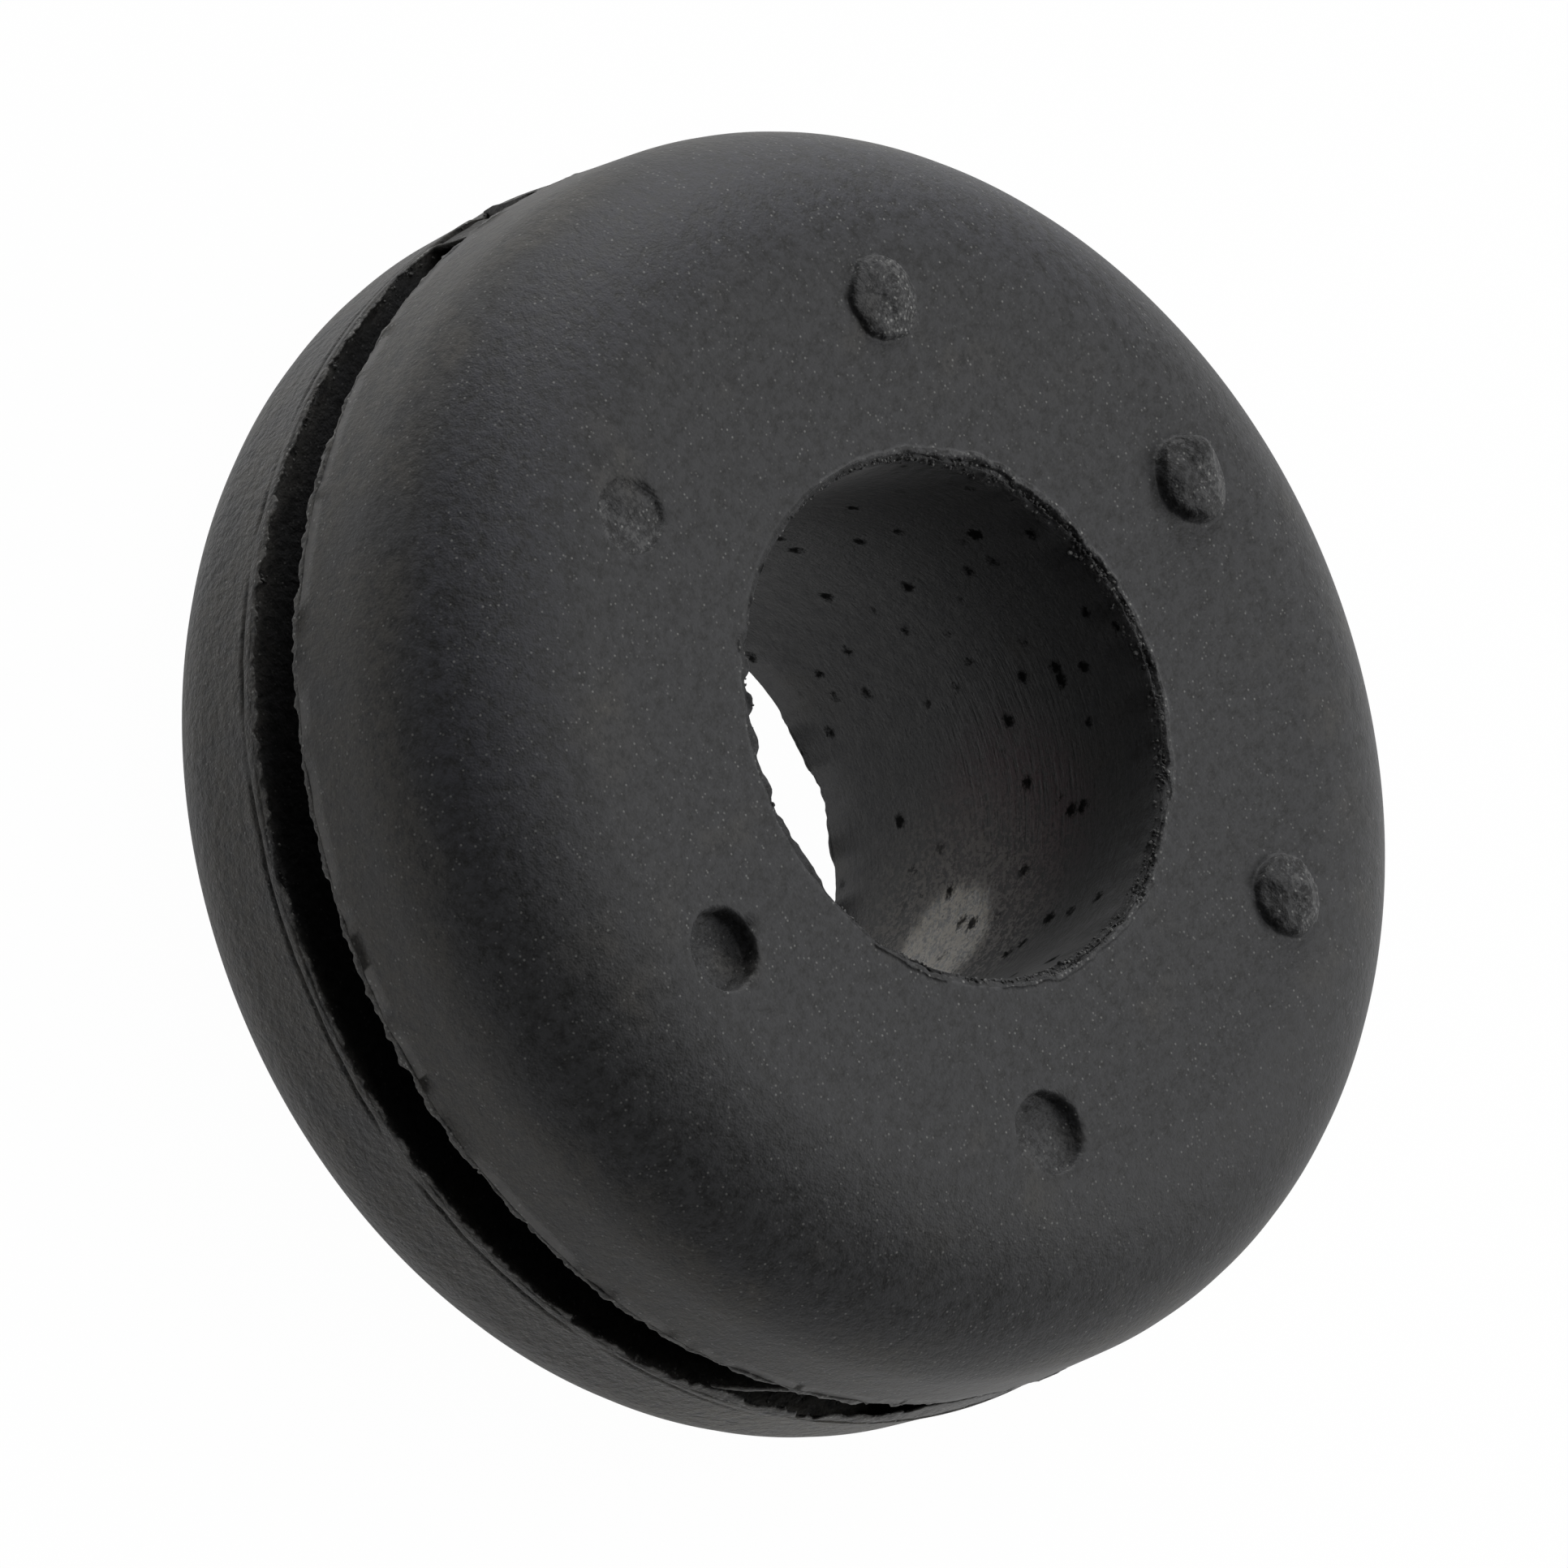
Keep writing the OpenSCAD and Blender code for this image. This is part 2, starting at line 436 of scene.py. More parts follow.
def press_marks(s, x, y, z, rows):
    """Raises or sinks the round marks on the front face.

    Round each mark, distances d from its rim within a narrow squeeze are shrunk, and the gap that
    opens is closed over a wider band, so the mark's wall is steep and its rim a jagged, slightly
    wavering circle. The height inside is the mark's own, plus its crown, tilt and lumps. A raised mark
    slopes to nothing on its powdery, lit side. A crease comes and goes round the rim, and round a raised
    mark only on the side that falls in shadow. Returns how torn, how dusty and how dark each point is:
    the powder lies thicker on the lit side as a painted highlight, and the darkness is painted shade,
    strongest on the side that falls in shadow.
    """
    squeeze, band, wall = 0.06 * MM, 0.18 * MM, 0.018 * MM
    ring_r = HIGH.x - s.lip_h - s.draft - s.shoulder_in - s.mark_inset
    lumpy, dusty, dark = np.zeros(x.shape), np.zeros(x.shape), np.zeros(x.shape)
    for n, (ragged, size, painted_shade_share, powder, *lengths) in enumerate(MARKS):
        mark_h, crown, lumps, tilt, crease, off_x, off_y = (value * MM for value in lengths)
        raised, mark_r = mark_h > 0, s.mark_r * size
        lean_x, lean_y = RAISED_SHADOW_SIDE if raised else SUNK_SHADOW_SIDE
        crease_w = (0.10 if raised else 0.08) * MM
        turn = TURN * n / len(MARKS)
        centre = (s.mark_offset + off_x + ring_r * math.cos(turn), off_y + ring_r * math.sin(turn))
        dx, dy = x[:, rows] - centre[0], y[:, rows] - centre[1]
        from_centre = np.hypot(dx, dy) + 1e-12
        side = np.stack([dx, dy, np.zeros_like(dx)], -1) / from_centre[..., None] * mark_r
        jags = rough(side, 0.3 * MM, 300 + n) + 0.7 * rough(side, 0.11 * MM, 320 + n, 2)
        rim = mark_r * (1 + ragged * jags)
        d = from_centre - rim
        near = np.interp(np.abs(d), (0, squeeze, band), (0, wall, band)) * np.sign(d)
        moved = np.where(np.abs(d) < band, rim + near, from_centre)
        x[:, rows] = centre[0] + dx * moved / from_centre
        y[:, rows] = centre[1] + dy * moved / from_centre
        inside = smooth(moved - rim, wall, -wall)
        top = np.stack([x[:, rows], y[:, rows], np.zeros_like(dx)], -1)
        grain = rough(top, 0.42 * MM, 60 + n, 4) + 0.4 * noise(top, 0.34 * MM, 80 + n, 0.3)
        share = np.clip(moved / mark_r, 0, 1)
        rise = mark_h + crown * (1 - share ** 2) + tilt * dx / mark_r + lumps * grain
        open_share = smooth(rough(side, 0.3 * MM, 330 + n, 2), -0.15, 0.35)
        fold = np.exp(-((moved - rim - 0.02 * MM) / crease_w) ** 2) * open_share
        # How far a point lies towards the side of the mark that falls in shadow, where painted shade goes
        away = (lean_x * dx + lean_y * dy) / mark_r
        shadow_side = smooth(away + 0.5 * grain, -0.6, 0.6)
        if raised:
            rise = rise * smooth(away, -1.15, -0.35)
            fold = fold * shadow_side
        z[:, rows] += inside * rise - crease * fold
        lumpy[:, rows] += 0.8 * inside
        # Painted highlight and shade: the powder lies thicker on the lit side, and painted shade darkens the
        # mark, most on the side that falls in shadow
        dusty[:, rows] += inside * powder * (1 - 0.7 * shadow_side)
        dark[:, rows] += inside * painted_shade_share * (0.25 + 0.75 * shadow_side)
    return lumpy, dusty, dark


def edge_wander(theta, seed):
    """How far an edge of the groove strays outwards at each angle, from -1 to 1, by slow and fast noise."""
    walk = level_ring(theta, HIGH.x)
    return rough(walk, 0.9 * MM, seed) * 0.7 + rough(walk, 0.3 * MM, seed + 5) * 0.5


def nick_edge(radius, height, rows, theta, seed, depth):
    """Roughens a sharp edge of the groove: it wanders, and stepped noise bites small chips out."""
    walk = level_ring(theta, HIGH.x)
    bites = smooth(noise(walk, 0.6 * MM, seed + 11, 0.15), 0.3, 0.9)
    count = rows.stop - rows.start
    swell = np.sin(np.pi * (np.arange(count) + 0.5) / count)
    radius[:, rows] += swell * (edge_wander(theta, seed) * depth - bites * depth * 1.5)
    height[:, rows] += swell * (rough(walk, 0.45 * MM, seed + 17) + 0.5) * depth


def edge_dent(theta):
    """Depth of the dent in the back edge, just before the flake of flash on the far left."""
    degrees = degrees_from(theta)
    return 0.07 * MM * smooth(degrees, -99.2, -101.2) * smooth(degrees, -101.6, -101.4)


def score_lip(radius, height, rows, theta):
    """Cuts the fine crevice that runs beside the parting lip, and returns its depth from 0 to 1.

    The crevice is a narrow bell across the flank whose middle wanders with noise along the edge, and
    it comes and goes.
    """
    walk = level_ring(theta, HIGH.x)
    top = height[:, [rows.start]]
    middle = (0.19 + 0.07 * rough(walk, 2.5 * MM, 160) + 0.025 * rough(walk, 0.25 * MM, 165)) * MM
    present = smooth(rough(walk, 2.2 * MM, 170), -0.35, 0.1) * (1 - around(theta, 60, 30))
    across = (top - height[:, rows] - middle) / (0.035 * MM)
    cut = present * np.exp(-across ** 2)
    radius[:, rows] -= 0.075 * MM * cut
    return cut


def join_rims(radius, height, bore, face):
    """Runs the bore's wall straight from one torn rim to the other, and eases the face into its rim."""
    low_end, high_end = height[:, [-1]], height[:, [bore.stop]]
    along = np.arange(1, 1 + bore.stop) / (1 + bore.stop)
    height[:, bore] = low_end + (high_end - low_end) * along
    radius[:, bore] = radius[:, [-1]] * (1 - along) + radius[:, [bore.stop]] * along
    radius[:, face] += (radius[:, [face.start - 1]] - BORE_R) * np.linspace(1, 0, face.stop - face.start)


class BUFFER_OT_body(bpy.types.Operator):
    """Builds the moulded body with its marks, torn rims and nicked edges, in place of the CAD solid."""

    bl_idname = "buffer.body"
    bl_label = "Rubber Body"

    def execute(self, context):
        s = context.scene.buffer_sizes
        outline_r, outline_z, rows = body_section(s)
        theta = body_angles()[:, None]
        radius = np.repeat(outline_r[None, :], ANGLES, 0)
        height = np.repeat(outline_z[None, :], ANGLES, 0)
        torn, dust = np.zeros(radius.shape), np.zeros(radius.shape)
        torn[:, rows["front_rim"]] = tear_rim(radius, height, rows["front_rim"], theta, True)
        torn[:, rows["back_rim"]] = tear_rim(radius, height, rows["back_rim"], theta, False)
        join_rims(radius, height, rows["bore"], rows["front_face"])
        nick_edge(radius, height, rows["front_edge"], theta, FRONT_SEED, FRONT_WANDER)
        nick_edge(radius, height, rows["back_edge"], theta, BACK_SEED, BACK_WANDER)
        torn[:, rows["lip"]] = 0.6 * score_lip(radius, height, rows["lip"], theta)
        radius[:, rows["back_edge"].start - 1:rows["lip"].stop] -= edge_dent(theta)
        rim = rows["front_rim"]
        # Powder lies thicker towards the outside of the rim, and on both edges of the groove
        dust[:, rim] = 0.9 * np.linspace(0, 1, rim.stop - rim.start) ** 2
        dust[:, rows["front_edge"]] = 0.7
        dust[:, rows["back_edge"]] = 0.9
        points = ring_points(np.broadcast_to(theta, radius.shape), radius, height)
        swell = rough(points, 5 * MM, 200, 2) * BODY_SWELL
        points[..., :2] *= (1 + swell / radius)[..., None]
        x, y, z = points[..., 0], points[..., 1], points[..., 2]
        marks = slice(rows["marks"].start - 2, rows["marks"].stop + 2)
        lumpy, dusty, deep = press_marks(s, x, y, z, marks)
        # Painted shade: the groove's inside and the crevice beside the lip get a deep value, which mixes in
        # the dark colour of the hollows, as the marks' dark values do
        deep[:, rows["front_wall"].start + 1:rows["back_wall"].stop] = 1
        deep[:, rows["lip"]] = 0.8 * torn[:, rows["lip"]]
        values = {"torn": np.maximum(torn, lumpy), "dust": np.maximum(dust, dusty), "deep": deep}
        body = solid_from_grids("buffer_body", points[None], True, {k: v[None] for k, v in values.items()})
        finish_piece(body, rubber_material(context.scene.buffer_look))
        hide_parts(NODE)
        return {"FINISHED"}


# ---------------------------------------------------------------- flash

SKIN_COLUMNS = 2800                        # columns of each skin's grid
SKIN_ROOT = 0.075                          # how far below its edge a skin is rooted, in millimetres
SKIN_INSET = 0.004 * MM                    # how far a skin lies inside the face of its edge
# Section of a skin of flash: share of its height from root to free edge, and depth in millimetres
# below its outer side, up the outer side and down the inner
SKIN_SECTION = np.array((
    (0, 0.025), (0.2, 0.004), (0.45, 0), (0.7, 0), (0.9, 0.002), (1, 0.018),
    (0.92, 0.036), (0.75, 0.045), (0.5, 0.06), (0.2, 0.08), (0, 0.10)))
WEB_RINGS, WEB_SIDES = 160, 12             # rings of the web's grid and points on each
WEB_HALF_DEPTH = 0.035 * MM
WEB_CELL = 0.25 * MM                       # size of the bites in the web's edges


def skin_height(theta, front):
    """How far the skin of flash stands out from an edge of the groove, in millimetres.

    It is a low fringe almost everywhere. On the back edge it rises to close the groove over on two
    stretches: behind a straight torn end on the far left, and over a ragged slope at the bottom.
    """
    degrees = degrees_from(theta)
    walk = level_ring(theta, HIGH.x)
    fray = 0.07 * rough(walk, 0.45 * MM, 480 + front, 2) + 0.08 * rough(walk, 0.15 * MM, 490 + front, 3)
    fray = fray + 0.04 * noise(walk, 0.33 * MM, 485 + front, 0.4)
    if front:
        return np.maximum(0.05 + 0.03 * rough(walk, 1.6 * MM, 495) + fray, 0.0)
    left = smooth(degrees, -93.4, -94.4) * smooth(degrees, -116, -112)
    bottom = 0.16 * smooth(degrees, 33, 40) + 0.16 * smooth(degrees, 49, 55) + 0.7 * smooth(degrees, 57, 62)
    bottom = bottom * smooth(degrees, 86, 80)
    slope = 1 + 0.8 * smooth(bottom, 0, 0.2) * (1 - smooth(bottom, 0.8, 1.0))
    return np.maximum(0.075 + 1.02 * left + bottom + fray * slope, 0.0)


def skin_sunk(theta):
    """How deep the back skin lies below its usual place, which it leaves on the far left only.

    It is sunk a little from its torn end on, and deeper over the dent in the edge. There it ends in a
    step, and rises past its usual place as a flake that dies away.
    """
    degrees = degrees_from(theta)
    sunk = 0.06 * smooth(degrees, -93.6, -94.4) * smooth(degrees, -101.6, -101.4)
    flake = 0.04 * smooth(degrees, -101.4, -101.6) * smooth(degrees, -104.5, -101.6)
    return (sunk - flake) * MM + edge_dent(theta)


def skin(s, front):
    """The skin of flash all round one edge of the groove, whose free edge is frayed.

    It follows the edge as that wanders, is rooted a little way down the flank, and fine noise wrinkles
    it. The back skin stands on the parting lip and leans in from it as it rises.
    """
    theta = np.arange(SKIN_COLUMNS) / SKIN_COLUMNS * TURN
    share, depth = SKIN_SECTION[:, 0], SKIN_SECTION[:, 1] * MM
    climb = (np.outer(skin_height(theta, front) + SKIN_ROOT, share) - SKIN_ROOT) * MM
    if front:
        side, wander = 1, edge_wander(theta, FRONT_SEED) * FRONT_WANDER
        lean, sunk, wrinkled = s.lip_h, np.zeros_like(theta), 0.034 * MM
    else:
        side, wander = -1, edge_wander(theta, BACK_SEED) * BACK_WANDER
        lean, sunk, wrinkled = s.lip_h * smooth(climb, 0.05 * MM, 0.5 * MM), skin_sunk(theta), 0.022 * MM
    radius = HIGH.x - SKIN_INSET - lean - depth + (wander - sunk)[:, None]
    height = HEIGHT / 2 + side * (s.groove_w / 2 - climb)
    points = ring_points(np.broadcast_to(theta[:, None], radius.shape), radius, height)
    wrinkle = wrinkled * rough(points, 0.2 * MM, 470 + front, 3) * smooth(climb, -0.05 * MM, 0.02 * MM)
    points[..., :2] *= (1 + wrinkle / radius)[..., None]
    return points


def strand(path, outward, half_width, half_depth):
    """A ragged strip as a grid of rings: an oval carried along a path of points.

    The oval reaches half_width to each side across the path, and half_depth to each side outwards.
    Noise eats into the strip's two edges, and finer noise wrinkles it.
    """
    across = np.cross(np.gradient(path, axis=0), outward)
    across /= np.linalg.norm(across, axis=-1, keepdims=True)
    turn = np.arange(WEB_SIDES) / WEB_SIDES * TURN
    side, thick = np.cos(turn)[None, :, None], np.sin(turn)[None, :, None]
    reach = across[:, None] * side * half_width[:, None, None]
    eaten = 1 - 0.75 * (0.5 + 0.5 * rough(path[:, None] + reach, WEB_CELL, 400))[..., None]
    points = path[:, None] + reach * eaten + outward[:, None] * thick * half_depth
    wrinkle = rough(points, 0.63 * WEB_CELL, 409)[..., None]
    return points + outward[:, None] * wrinkle * 0.7 * half_depth


def web(s):
    """The thin web of flash that leaves the back edge and runs slantwise over to the front edge."""
    along = np.linspace(0, 1, WEB_RINGS)
    theta = np.radians(37.5 + 7.5 * along)
    low_edge = (HEIGHT - s.groove_w) / 2
    height = low_edge + s.groove_w * (0.22 + 0.78 * smooth(along, 0, 0.95))
    path = ring_points(theta, HIGH.x - s.lip_h - 0.05 * MM, height)
    outward = level_ring(theta, 1.0)
    # A half sine raised to a small power: full almost from end to end, and nothing at both
    tapered = np.sin(np.pi * (np.arange(WEB_RINGS) + 0.5) / WEB_RINGS) ** 0.3
    half_width = (0.10 + 0.03 * smooth(along, 0.1, 0.8)) * MM * tapered
    return strand(path, outward, half_width, WEB_HALF_DEPTH)


class BUFFER_OT_flash(bpy.types.Operator):
    """Builds the skins of flash along the groove's two edges and the web across it."""

    bl_idname = "buffer.flash"
    bl_label = "Groove Flash"

    def execute(self, context):
        s = context.scene.buffer_sizes
        theta = np.arange(SKIN_COLUMNS)[:, None] / SKIN_COLUMNS * TURN
        # On the far left the back skin is powdery at its torn end, and painted with shade before its flake
        powdery = 0.7 + 0.9 * around(theta, -92.5, 2.0)
        painted_shade_at_flake = 0.8 * around(theta, -98, 3.5)
        # Name, points, whether the rows join up, how dusty and how deep in painted shade
        pieces = (
            ("groove_web", web(s), False, 0.35, 0),
            ("front_skin", skin(s, True), True, 0.7, 0),
            ("back_skin", skin(s, False), True, powdery, painted_shade_at_flake),
        )
        for name, points, joined, dust, deep in pieces:
            piece = solid_from_grids(name, points[None], joined, {"torn": 0.5, "dust": dust, "deep": deep})
            finish_piece(piece, bpy.data.materials[RUBBER])
        return {"FINISHED"}


# ---------------------------------------------------------------- crumbs

def crumb_grids(centres, sizes, rng):
    """Small lumpy balls as grids of six rings of eight: stretched, turned at random and dented by noise."""
    count = len(centres)
    fall = np.linspace(0.2, math.pi - 0.2, 6)[:, None]
    turn = np.arange(8)[None, :] / 8 * TURN
    level = np.sin(fall)
    ball = np.stack(np.broadcast_arrays(level * np.cos(turn), level * np.sin(turn), np.cos(fall)), -1)
    stretched = ball * rng.uniform(0.55, 1.35, (count, 1, 1, 3))
    lumps = 1 + 0.35 * noise(ball + rng.uniform(0, 900, (count, 1, 1, 3)), 0.8, 5)
    frames = np.linalg.qr(rng.normal(size=(count, 3, 3)))[0]
    frames *= np.sign(np.linalg.det(frames))[:, None, None]
    turned = np.einsum("nij,nrcj->nrci", frames, stretched * lumps[..., None])
    return centres[:, None, None] + turned * sizes[:, None, None, None]


def crumb_sizes(count, middle, rng):
    """Radii of crumbs: a bell curve of logarithms about the middle size."""
    return middle * MM * np.exp(rng.normal(0, 0.35, count))


def rim_crumbs(count, rng):
    """Places on the torn stretch of the front rim, more where it is more torn."""
    theta = rng.uniform(0, TURN, count * 6)
    torn = rim_tear(theta, True)[0]
    wanted = torn + 0.03 + 0.4 * around(theta, 78, 16)
    theta = theta[rng.uniform(0, 1, len(theta)) < wanted][:count, None]
    # Each crumb lies at one of 40 stations of the rim's section, but at none of the last six
    reach, fall, *_ = rim_section(theta, 40, True)
    pick = (rng.beta(1.6, 1.6, len(theta)) * 34).astype(int)
    each = np.arange(len(theta))
    return ring_points(theta[:, 0], BORE_R + reach[each, pick], HEIGHT - fall[each, pick])


def edge_crumbs(s, count, up, reach, rng):
    """Places a lip's height inside one edge of the groove and down its wall.

    They lie in clusters set by noise along the edge, and ever fewer of them further in.
    """
    theta = rng.uniform(0, TURN, count * 5)
    walk = level_ring(theta, HIGH.x)
    theta = theta[rough(walk, 1.5 * MM, 500 + up) + rng.uniform(-0.3, 0.3, len(theta)) > 0.1][:count]
    inward = rng.exponential(reach, len(theta)) * MM
    side = 1 if up else -1
    height = HEIGHT / 2 + side * (s.groove_w / 2 + rng.normal(0, 0.012 * MM, len(theta)))
    return ring_points(theta, HIGH.x - s.lip_h * (2 if up else 1) - inward, height)


class BUFFER_OT_crumbs(bpy.types.Operator):
    """Builds the crumbs of rubber on the torn rim and along the groove's edges."""

    bl_idname = "buffer.crumbs"
    bl_label = "Crumbs"

    def execute(self, context):
        s = context.scene.buffer_sizes
        rng = np.random.default_rng(7)
        # Name, places, middle size in millimetres, and how much paler than the rest the palest is
        groups = (
            ("rim_crumbs", rim_crumbs(1100, rng), 0.019, 0.7),
            ("front_edge_crumbs", edge_crumbs(s, 900, True, 0.03, rng), 0.022, 1.0),
            ("back_edge_crumbs", edge_crumbs(s, 600, False, 0.05, rng), 0.020, 0.7),
        )
        for name, centres, middle, pale in groups:
            sizes = crumb_sizes(len(centres), middle, rng)
            points = crumb_grids(centres, sizes, rng)
            dust = 1 + pale * rng.uniform(0, 1, (len(centres), 1, 1)) ** 2
            piece = solid_from_grids(name, points, False, {"torn": 0.6, "dust": dust, "deep": 0})
            finish_piece(piece, bpy.data.materials[RUBBER])
        return {"FINISHED"}


# ---------------------------------------------------------------- shader maths

class Sock:
    """A socket of a material, whose sums, differences, products and powers add their Math nodes."""

    def __init__(self, paint, socket):
        self.paint, self.socket = paint, socket

    def _math(self, operation, first, second):
        """A Math node of this operation on two sockets or numbers."""
        node = self.paint.node("ShaderNodeMath", {"operation": operation}, {0: first, 1: second})
        return Sock(self.paint, node.outputs[0])

    def __add__(self, other):
        return self._math("ADD", self, other)

    def __sub__(self, other):
        return self._math("SUBTRACT", self, other)

    def __rsub__(self, other):
        return self._math("SUBTRACT", other, self)

    def __mul__(self, other):
        return self._math("MULTIPLY", self, other)

    def __pow__(self, other):
        return self._math("POWER", self, other)

    def step(self, start, end):
        """Rises smoothly from 0 at start to 1 at end; start may be above end."""
        down = start > end
        values = {
            "Value": self, "From Min": min(start, end), "From Max": max(start, end),
            "To Min": float(down), "To Max": float(not down)}
        node = self.paint.node("ShaderNodeMapRange", {"interpolation_type": "SMOOTHSTEP"}, values)
        return Sock(self.paint, node.outputs["Result"])


class Paint:
    """The node tree of one material."""

    def __init__(self, name):
        self.material = bpy.data.materials.new(name)
        self.material.use_nodes = True
        self.tree = self.material.node_tree
        self.tree.nodes.clear()

    def node(self, kind, settings, values):
        """Adds a node, makes its settings, and then links or sets the sockets named or numbered in values."""
        node = self.tree.nodes.new(kind)
        for key, value in settings.items():
            setattr(node, key, value)
        for key, value in values.items():
            if isinstance(value, Sock):
                self.tree.links.new(value.socket, node.inputs[key])
            else:
                node.inputs[key].default_value = value
        return node

    def place(self):
        """Object coordinates in millimetres, as one vector and as x, y and z."""
        where = self.node("ShaderNodeTexCoord", {}, {}).outputs["Object"]
        scaled = self.node("ShaderNodeVectorMath", {"operation": "SCALE"},
                           {0: Sock(self, where), "Scale": 1 / MM})
        vector = Sock(self, scaled.outputs[0])
        parts = self.node("ShaderNodeSeparateXYZ", {}, {0: vector})
        return (vector, *(Sock(self, parts.outputs[n]) for n in range(3)))

    def stretch(self, vector, factors):
        """The vector with its three parts multiplied by the factors."""
        node = self.node("ShaderNodeVectorMath", {"operation": "MULTIPLY"}, {0: vector, 1: factors})
        return Sock(self, node.outputs[0])

    def noise(self, vector, size, detail=3.0, roughness=0.55):
        """Noise about 0.5 with features of this size in millimetres."""
        node = self.node("ShaderNodeTexNoise", {}, {
            "Vector": vector, "Scale": 1 / size, "Detail": detail, "Roughness": roughness})
        return Sock(self, node.outputs["Fac"])

    def stored(self, name):
        """A value stored on the mesh's points."""
        node = self.node("ShaderNodeAttribute", {"attribute_name": name}, {})
        return Sock(self, node.outputs["Fac"])

    def cells(self, vector, size):
        """Distance in sizes to the nearest of points strewn about a size apart, and its random number."""
        node = self.node("ShaderNodeTexVoronoi", {}, {"Vector": vector, "Scale": 1 / size})
        shade = self.node("ShaderNodeSeparateColor", {}, {0: Sock(self, node.outputs["Color"])})
        return Sock(self, node.outputs["Distance"]), Sock(self, shade.outputs[0])

    def mix(self, factor, first, second):
        """The first colour blended towards the second by the factor."""
        node = self.node("ShaderNodeMix", {"data_type": "RGBA"}, {0: factor, 6: first, 7: second})
        return Sock(self, node.outputs[2])

    def blend(self, factor, first, second):
        """The first vector blended towards the second by the factor."""
        node = self.node("ShaderNodeMix", {"data_type": "VECTOR"}, {0: factor, 4: first, 5: second})
        return Sock(self, node.outputs[1])

    def distance(self, vector, point):
        """How far the vector is from a point, in its own units."""
        node = self.node("ShaderNodeVectorMath", {"operation": "DISTANCE"}, {0: vector, 1: point})
        return Sock(self, node.outputs["Value"])

    def near(self, vector, spot):
        """Rises from 0 to 1 towards a spot: its middle, and the distances where that begins and ends."""
        middle, start, end = spot
        return self.distance(vector, middle).step(start, end)

    def bump(self, height, distance, strength):
        """A normal bent by a height from 0 to 1 that stands for the distance."""
        values = {"Height": height, "Distance": distance, "Strength": strength}
        return Sock(self, self.node("ShaderNodeBump", {}, values).outputs[0])

    def merge(self, factor, first, second):
        """The first shader blended towards the second by the factor."""
        values = {0: factor, 1: Sock(self, first.outputs[0]), 2: Sock(self, second.outputs[0])}
        return Sock(self, self.node("ShaderNodeMixShader", {}, values).outputs[0])

    def output(self, shader):
        """Ends the tree in a surface and returns the material."""
        self.node("ShaderNodeOutputMaterial", {}, {"Surface": shader})
        return self.material


def rgba(values):
    """A colour with full alpha."""
    return (*values, 1.0)


# ---------------------------------------------------------------- rubber

RUBBER = "moulded_rubber"


class BufferLook(bpy.types.PropertyGroup):
    """Colours and finish of the rubber."""

    rubber: colour("Rubber", "Colour of the clean rubber", (0.0318, 0.0322, 0.0342))
    # Brownish bloom; where it lies thicker on the outer flank it is a painted rim light
    warm_bloom_and_rim_light: colour("Warm bloom", "Colour of the brownish bloom on old rubber", (0.046, 0.0432, 0.0385))
    # Painted shade: a darker, bluish tint laid on the left shoulder
    painted_cool_shade: colour("Cool bloom", "Colour of the bluish bloom on the left shoulder", (0.0285, 0.0290, 0.0365))
    # Painted light: pale grains painted lit round the painted pool of light on the bore's wall
    scale: colour("Bore scale", "Colour of the pale grains round the bore's bloom", (0.27, 0.255, 0.24))
    brown: colour("Bore brown", "Colour of the brownish film in the lower bore", (0.092, 0.058, 0.064))
    # Painted light: a pale film low on the back flange that stands in for light bounced from the floor
    painted_floor_bounce: colour("Soil", "Colour of the film of dirt low on the back flange", (0.080, 0.075, 0.060))
    # The mottle's colour, which also lays painted shade on two stretches of the bore's wall
    shade: colour("Mottle", "Colour of the darker mottling", (0.006, 0.006, 0.006))
    dust: colour("Specks", "Colour of the pale specks of moulding powder", (0.26, 0.26, 0.25))
    # Painted light: a pale pool of light on one side of the bore's wall
    bloom: colour("Bore bloom", "Colour of the pale bloom on one side of the bore", (0.52, 0.475, 0.395))
    # Painted shade: the dark colour of the pits, the groove's inside, the crevices, a stretch of the back
    # skin and the marks' dark sides
    painted_hollow_shade: colour("Pits", "Colour inside the pits of the bore", (0.004, 0.004, 0.004))
    roughness: share("Roughness", "Roughness of the clean rubber", 0.62)
    gloss: share("Gloss", "Strength of the rubber's reflection", 0.4)
    sheen: share("Sheen", "Strength of the dusty sheen at glancing angles", 0.12)


# Spots on the rubber in millimetres: the middle, and the distances at which its effect begins and is full
WORN = ((-3.55, 2.05, 5.1), 2.4, 1.0)      # scored and pitted stretch of the bore's wall
BROWNED = ((-2.7, 3.1, 4.5), 2.6, 0.9)     # brownish film on the wall
PAINTED_SHADE_WALL = ((-3.05, -2.74, 5.5), 3.4, 1.0)  # painted shade on a stretch of the wall, and on another below its rim
PAINTED_SHADE_BELOW_RIM = ((-0.4, 4.1, 7.3), 3.0, 1.0)
BLOOMED = ((7.5, 7.0, 1.5), 5.0, 2.5)      # brownish bloom at the bottom of the outer flank
FLOOR_BOUNCE_SPOT = ((5.5, 8.3, 1.6), 5.0, 2.0)       # painted bounce light from the floor, at the bottom of the back flange
LIGHT_POOL_MIDDLE = (-1.38, 3.86, 3.2)                 # middle of the painted pool of light on the wall


